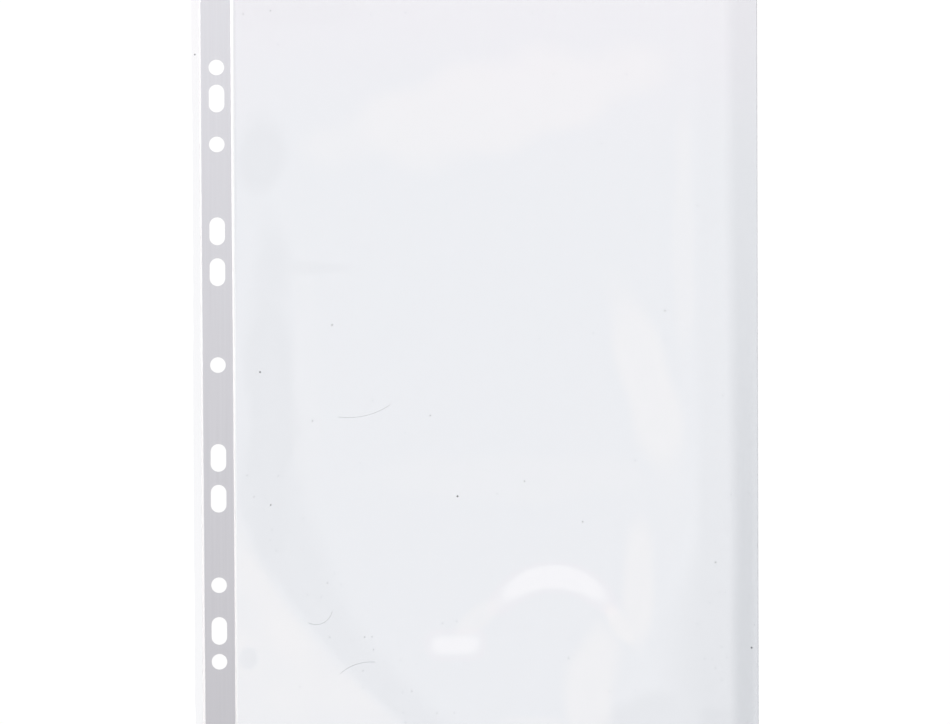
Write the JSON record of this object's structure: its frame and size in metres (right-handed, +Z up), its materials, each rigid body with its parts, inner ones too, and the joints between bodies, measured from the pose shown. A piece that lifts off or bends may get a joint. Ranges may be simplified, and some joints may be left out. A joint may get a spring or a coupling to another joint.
{
  "type": "sheet protector",
  "caption": "Clear punched pocket for A4 paper: a folded film, sealed at one side and the bottom and open at the top, with a welded binding strip whose holes and slots fit ring binders.",
  "frame": {"origin": "middle of the pocket's underside as it lies flat", "axes": "+X from the binding strip to the fold, +Y to the mouth, +Z up from the table"},
  "size_m": [0.2282, 0.305, 0.0005],
  "materials": {
    "film": "clear cast polypropylene film, smooth",
    "strip": "pale grey polypropylene tape, satin",
    "weld": "milky heat seal"
  },
  "bodies": {
    "binding_margin": {"margin_film": "film", "binding_strip": "strip", "outer_weld": "weld", "inner_weld": "weld"},
    "pocket": {"back_film": "film", "side_fold": "film", "bottom_weld": "weld"},
    "front_leaf": {"front_film": "film"}
  },
  "joints": [
    {"name": "page_turn", "type": "hinge", "parent": "binding_margin", "child": "pocket", "pos_m": [-0.09705, 0, 0.00004], "axis": [0, -1, 0], "range_deg": [0, 90]},
    {"name": "mouth_open", "type": "hinge", "parent": "pocket", "child": "front_leaf", "pos_m": [0.0085, -0.15036, 0.00046], "axis": [1, 0, 0], "range_deg": [0, 4]}
  ]
}
